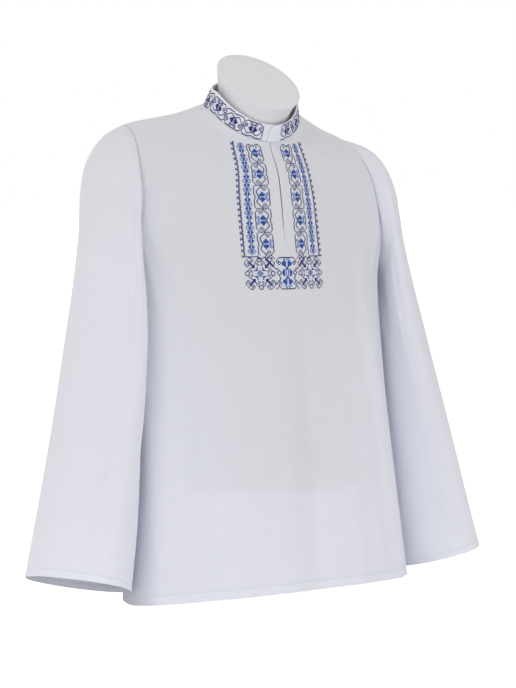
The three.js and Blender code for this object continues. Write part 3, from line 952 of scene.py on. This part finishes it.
def collar_stitches():
    fine = np.linspace(0, -2 * math.pi, 2000)
    middle = collar_surface(fine, np.full(fine.shape, COLLAR_MIDDLE))
    length = run_length(middle)
    start = COLLAR_PLAIN_UNDER
    count = int((length[-1] - COLLAR_PLAIN_FLAP - start) // COLLAR_PITCH)
    step = (length[-1] - COLLAR_PLAIN_FLAP - start) / count
    angle = np.interp(start + step * np.arange(count + 1), length, fine)
    heights = COLLAR_FOOT + COLLAR_PITCH * np.arange(COLLAR_ROWS + 1)
    grid = np.array([collar_surface(angle, np.full(angle.shape, h), 0.05) for h in heights])
    _, _, _, out, _, _ = collar_frame(angle)
    vine = chart(VINE)
    picked = []
    for k in range(count):
        line = vine[k % 24][::-1] if (k // 24) % 2 else vine[k % 24]
        for j, thread in enumerate(line):
            if thread != ".":
                picked.append((grid[j:j + 2, k:k + 2], out[k]))
    return picked


collar_cells = collar_stitches()
stitch_collar = stitches("stitches_collar_navy", collar_cells, 1.25, 0.45)


# ---- Seam and hem stitching, in white thread ----
def run_stitches(name, paths, normals, long=2.4, gap=0.9, wide=0.45, high=0.3):
    """Small flat stitches along paths of points, as one mesh."""
    points, faces = [], []
    for path, normal in zip(paths, normals):
        length = run_length(path)
        count = int(length[-1] // (long + gap))
        starts = np.arange(count) * (long + gap)
        grid = []
        for t, rise, slim in ((0, 0.1, 0.6), (0.3, 1, 1), (0.7, 1, 1), (1, 0.1, 0.6)):
            s = starts + long * t
            p = np.stack([np.interp(s, length, path[:, k]) for k in range(3)], -1)
            q = np.stack([np.interp(s + 0.3, length, path[:, k]) for k in range(3)], -1)
            n = unit(np.stack([np.interp(s, length, normal[:, k]) for k in range(3)], -1))
            side = unit(np.cross(q - p, n)) * wide / 2 * slim
            grid.append(np.stack([p - side + n * 0.05, p + n * high * rise, p + side + n * 0.05], 1))
        faces.append(strip_faces(count, sum(len(p) for p in points)))
        points.append(np.stack(grid, 1).reshape(-1, 3))
    return add_object(name, np.concatenate(points), np.concatenate(faces), sharp=80)


hem_line = int(np.argmin(abs(PANEL_ROWS - BODY_HEM)))
cuff_line = int(np.argmin(abs(SLEEVE_ROWS - CUFF)))
around = np.r_[0:SLEEVE_COLS, 0]
hem_stitches = run_stitches(
    "stitches_hems",
    [front_grid[hem_line], back_grid[hem_line],
     left_rings[cuff_line][around], right_rings[cuff_line][around]],
    [front_normals[hem_line], back_normals[hem_line],
     left_normals[cuff_line][around], right_normals[cuff_line][around]])


# ---- The stand ----
def turned(name, profile, centre, stretch=(1.0, 1.0), cols=64):
    """A turned solid about an upright axis: profile is a list of (radius, z)."""
    a = np.linspace(0, 2 * math.pi, cols, endpoint=False)
    rings = np.array([[centre[0] + stretch[0] * r * np.sin(a), centre[1] - stretch[1] * r * np.cos(a),
                       z + 0 * a] for r, z in profile]).transpose(0, 2, 1)
    return add_object(name, rings.reshape(-1, 3), grid_faces(numbered(rings), closed=True), sharp=40)


POST_PROFILE = [(0.02, 171.6), (15.2, 171.6), (16, 170.8), (16, 12), (16, 8.4), (15.6, 8.35),
                (0.02, 8.35)]
BASE_PROFILE = [(0.001, 8), (0.9, 8), (0.983, 8), (0.992, 7.6), (0.998, 6.9), (1, 6), (1, 0.4),
                (0.997, 0), (0.001, 0)]
POST_FORWARD = 34  # how far the post stands forward of the base's centre
BASE_HALF = (120, 70)
stand_post = turned("stand_post_smooth", POST_PROFILE, (0, STAND_Y - POST_FORWARD))
stand_base = turned("stand_base_smooth", BASE_PROFILE, (0, STAND_Y), BASE_HALF, 96)


# ---- Materials ----
def material(name, colour, roughness, **extra):
    made = bpy.data.materials.new(name)
    made.use_nodes = True
    shader = made.node_tree.nodes["Principled BSDF"]
    shader.inputs["Base Color"].default_value = (*colour, 1)
    shader.inputs["Roughness"].default_value = roughness
    for key, value in extra.items():
        shader.inputs[key.replace("_", " ")].default_value = value
    return made, made.node_tree.nodes, made.node_tree.links, shader


def math_node(nodes, links, kind, a, b=None, c=None):
    node = nodes.new("ShaderNodeMath")
    node.operation = kind
    for slot, value in zip(node.inputs, (a, b, c)):
        if value is None:
            continue
        if isinstance(value, (int, float)):
            slot.default_value = value
        else:
            links.new(value, slot)
    return node.outputs[0]


def mix_colour(nodes, links, factor, a, b, blend="MIX"):
    node = nodes.new("ShaderNodeMix")
    node.data_type = "RGBA"
    node.blend_type = blend
    for slot, value in ((node.inputs[0], factor), (node.inputs[6], a), (node.inputs[7], b)):
        if isinstance(value, (int, float)):
            slot.default_value = value
        elif isinstance(value, tuple):
            slot.default_value = (*value, 1)
        else:
            links.new(value, slot)
    return node.outputs[2]


def noise_node(nodes, links, place, scale, detail=2.0):
    node = nodes.new("ShaderNodeTexNoise")
    node.inputs["Scale"].default_value = scale
    node.inputs["Detail"].default_value = detail
    links.new(place, node.inputs[0])
    return node.outputs[0]


def add_bump(nodes, links, shader, height, strength, distance):
    node = nodes.new("ShaderNodeBump")
    node.inputs["Strength"].default_value = strength
    node.inputs["Distance"].default_value = distance
    links.new(height, node.inputs["Height"])
    links.new(node.outputs[0], shader.inputs["Normal"])


CLOTH_WHITE = (0.86, 0.87, 0.975)
# Painted shade: the cloth's colour where the form stands behind it and blocks the light that passes
# through.
CLOTH_FORM_SHADE = (0.755, 0.765, 0.81)
# Painted shade: the doubled hem is darker, as less light passes through two layers.
CLOTH_DOUBLED_SHADE = (0.81, 0.82, 0.90)


def cloth_material():
    made, nodes, links, shader = material("cloth", CLOTH_WHITE, 0.92, Sheen_Weight=0.25,
                                          Sheen_Roughness=0.6, Specular_IOR_Level=0.15,
                                          # Thin cotton lets light through to its other side.
                                          Subsurface_Weight=0.5, Subsurface_Scale=0.004,
                                          Subsurface_Radius=(1.0, 1.0, 1.0))
    uv = nodes.new("ShaderNodeUVMap")
    uv.uv_map = "cloth"
    split = nodes.new("ShaderNodeSeparateXYZ")
    links.new(uv.outputs[0], split.inputs[0])
    # A plain weave of threads 0.5 mm apart, over and under in turn.
    across = math_node(nodes, links, "MULTIPLY", split.outputs[0], 2 * math.pi / 0.001)
    down = math_node(nodes, links, "MULTIPLY", split.outputs[1], 2 * math.pi / 0.001)
    warp = math_node(nodes, links, "SINE", across)
    weft = math_node(nodes, links, "SINE", down)
    weave = math_node(nodes, links, "MULTIPLY", warp, weft)
    # Uneven yarn shows as faint long streaks both ways.
    slub = []
    for scale in ((40.0, 900.0), (900.0, 40.0)):
        stretch = nodes.new("ShaderNodeMapping")
        stretch.inputs["Scale"].default_value = (scale[0], scale[1], 1)
        links.new(uv.outputs[0], stretch.inputs[0])
        slub.append(noise_node(nodes, links, stretch.outputs[0], 1.0))
    streak = math_node(nodes, links, "ADD", slub[0], slub[1])
    relief = math_node(nodes, links, "ADD", math_node(nodes, links, "MULTIPLY", weave, 0.5), streak)
    add_bump(nodes, links, shader, relief, 0.12, 0.0004)
    shade = nodes.new("ShaderNodeAttribute")
    shade.attribute_name = "shade"
    parts = nodes.new("ShaderNodeSeparateColor")
    links.new(shade.outputs[0], parts.inputs[0])
    # Painted shade: the cloth turns greyer where the form stands behind it.
    colour = mix_colour(nodes, links, parts.outputs[0], CLOTH_WHITE, CLOTH_FORM_SHADE)
    # Painted shade on the doubled hem.
    hem = math_node(nodes, links, "MULTIPLY", parts.outputs[1], 0.75)
    colour = mix_colour(nodes, links, hem, colour, CLOTH_DOUBLED_SHADE)
    thread = math_node(nodes, links, "MULTIPLY_ADD", streak, 0.05, 0.95)
    grey = nodes.new("ShaderNodeCombineColor")
    for slot in grey.inputs:
        links.new(thread, slot)
    colour = mix_colour(nodes, links, 1.0, colour, grey.outputs[0], "MULTIPLY")
    links.new(colour, shader.inputs["Base Color"])
    return made


def thread_material(name, dark, pale):
    """Stranded cotton: a soft sheen, and shade that differs a little from stitch to stitch."""
    made, nodes, links, shader = material(name, dark, 0.6, Sheen_Weight=0.15, Specular_IOR_Level=0.3)
    place = nodes.new("ShaderNodeTexCoord")
    noise = noise_node(nodes, links, place.outputs["Object"], 650.0, 1.0)
    links.new(mix_colour(nodes, links, noise, dark, pale), shader.inputs["Base Color"])
    add_bump(nodes, links, shader, noise, 0.3, 0.0002)
    return made


def shell_material(name, colour, roughness, speckle=0.03):
    made, nodes, links, shader = material(name, colour, roughness, Specular_IOR_Level=0.35)
    place = nodes.new("ShaderNodeTexCoord")
    noise = noise_node(nodes, links, place.outputs["Object"], 18.0, 3.0)
    worn = tuple(c * (1 - speckle * 2) for c in colour)
    links.new(mix_colour(nodes, links, noise, colour, worn), shader.inputs["Base Color"])
    rough = math_node(nodes, links, "MULTIPLY_ADD", noise, 0.15, roughness - 0.05)
    links.new(rough, shader.inputs["Roughness"])
    grain = noise_node(nodes, links, place.outputs["Object"], 900.0)
    add_bump(nodes, links, shader, grain, 0.05, 0.0003)
    return made


cloth = cloth_material()
navy = thread_material("thread_navy", (0.010, 0.010, 0.12), (0.026, 0.03, 0.24))
blue = thread_material("thread_blue", (0.012, 0.06, 0.31), (0.026, 0.11, 0.44))
light = thread_material("thread_light", (0.04, 0.12, 0.42), (0.08, 0.19, 0.54))
white = thread_material("thread_white", (0.72, 0.72, 0.78), (0.82, 0.82, 0.88))
form_paint = shell_material("form", (0.82, 0.82, 0.835), 0.5)
stand_paint = shell_material("stand", (0.86, 0.86, 0.87), 0.4, 0.02)
for made, look in ((front, cloth), (back, cloth), (sleeve_left, cloth), (sleeve_right, cloth),
                   (collar, cloth), (stitch_vine, navy), (stitch_navy, navy),
                   (stitch_collar, navy), (stitch_blue, blue), (stitch_light, light),
                   (hem_stitches, white), (dress_form, form_paint),
                   (stand_post, stand_paint), (stand_base, stand_paint)):
    made.data.materials.append(look)

# ---- Floor, light and camera ----
def seen_or_lent(nodes, links, seen, lent):
    """A strength that is one value to the camera and another to the pieces it lights."""
    ray = nodes.new("ShaderNodeLightPath")
    return math_node(nodes, links, "MULTIPLY_ADD", ray.outputs["Is Camera Ray"], seen - lent, lent)


floor_mesh = bpy.data.meshes.new("floor")
FLOOR_HALF = 150
floor_mesh.from_pydata([(-FLOOR_HALF, -FLOOR_HALF, 0), (FLOOR_HALF, -FLOOR_HALF, 0),
                        (FLOOR_HALF, FLOOR_HALF, 0), (-FLOOR_HALF, FLOOR_HALF, 0)], [], [(0, 1, 2, 3)])
floor = bpy.data.objects.new("floor", floor_mesh)
bpy.context.scene.collection.objects.link(floor)
FLOOR_GLOW, FLOOR_SEEN = 0.14, 0.95  # what the lit floor lends the cloth, and how pale it looks
floor_look, floor_nodes, floor_links, floor_shader = material(
    "floor", (0.93, 0.93, 0.935), 0.9, Specular_IOR_Level=0.1, Emission_Color=(1, 1, 1, 1))
glow = seen_or_lent(floor_nodes, floor_links, FLOOR_SEEN, FLOOR_GLOW)
floor_links.new(glow, floor_shader.inputs["Emission Strength"])
floor.data.materials.append(floor_look)

world = bpy.data.worlds.new("studio")
bpy.context.scene.world = world
world.use_nodes = True
sky_nodes, sky_links = world.node_tree.nodes, world.node_tree.links
SKY_LIGHT, SKY_SEEN = 0.67, 1.0
sky_nodes["Background"].inputs[0].default_value = (1, 1, 1, 1)
sky_links.new(seen_or_lent(sky_nodes, sky_links, SKY_SEEN, SKY_LIGHT), sky_nodes["Background"].inputs[1])


def area_light(name, place, aim, size, watts):
    lamp = bpy.data.lights.new(name, "AREA")
    lamp.shape = "RECTANGLE"
    lamp.size, lamp.size_y = size
    lamp.energy = watts
    made = bpy.data.objects.new(name, lamp)
    made.location = place
    made.rotation_euler = (Vector(aim) - Vector(place)).to_track_quat("-Z", "Y").to_euler()
    bpy.context.scene.collection.objects.link(made)
    return made


area_light("key", (-3.2, -2.4, 2.6), (0, 0, 0.45), (2.4, 2.4), 33)
area_light("fill", (-0.9, -4.2, 1.3), (0, 0, 0.45), (2.4, 2.0), 14)

CAMERA_DISTANCE, CAMERA_HEIGHT, CAMERA_AZIMUTH = 3.6, 0.620, math.radians(-30)
NECK_Y = -0.060
FOCAL_PX, HORIZON_PX, NECK_PX = 2323.0, 196.0, 256.0
FRAME_W, FRAME_H = 516, 688
camera_data = bpy.data.cameras.new("camera")
camera_data.sensor_fit = "VERTICAL"
camera_data.sensor_height = 36.0
camera_data.lens = 36.0 * FOCAL_PX / FRAME_H
camera_data.shift_x = (FRAME_W / 2 - NECK_PX) / FRAME_H
camera_data.clip_end = 400
camera = bpy.data.objects.new("camera", camera_data)
camera.location = (math.sin(CAMERA_AZIMUTH) * CAMERA_DISTANCE,
                   NECK_Y - math.cos(CAMERA_AZIMUTH) * CAMERA_DISTANCE, CAMERA_HEIGHT)
pitch = math.atan((FRAME_H / 2 - HORIZON_PX) / FOCAL_PX)
camera.rotation_euler = (math.pi / 2 - pitch, 0, CAMERA_AZIMUTH)
bpy.context.scene.collection.objects.link(camera)
bpy.context.scene.camera = camera
bpy.context.scene.view_settings.view_transform = "Standard"

# ---- Each piece hangs from the root body, and the solids it stands for are hidden ----
for made, slot in ((front, "cloth"), (back, "cloth"), (sleeve_left, "cloth"), (sleeve_right, "cloth"),
                   (collar, "cloth"), (hem_stitches, "cloth"), (stitch_navy, "thread_navy"),
                   (stitch_vine, "thread_navy"),
                   (stitch_collar, "thread_navy"), (stitch_blue, "thread_blue"),
                   (stitch_light, "thread_blue"), (dress_form, "form"),
                   (stand_post, "stand"), (stand_base, "stand")):
    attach(made, "root")
for made, node in ((front, "front"), (back, "back"), (sleeve_left, "sleeve_left"),
                   (sleeve_right, "sleeve_right"), (collar, "collar"), (dress_form, "dress_form"),
                   (stand_post, "stand_post"), (stand_base, "stand_base")):
    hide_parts(node)
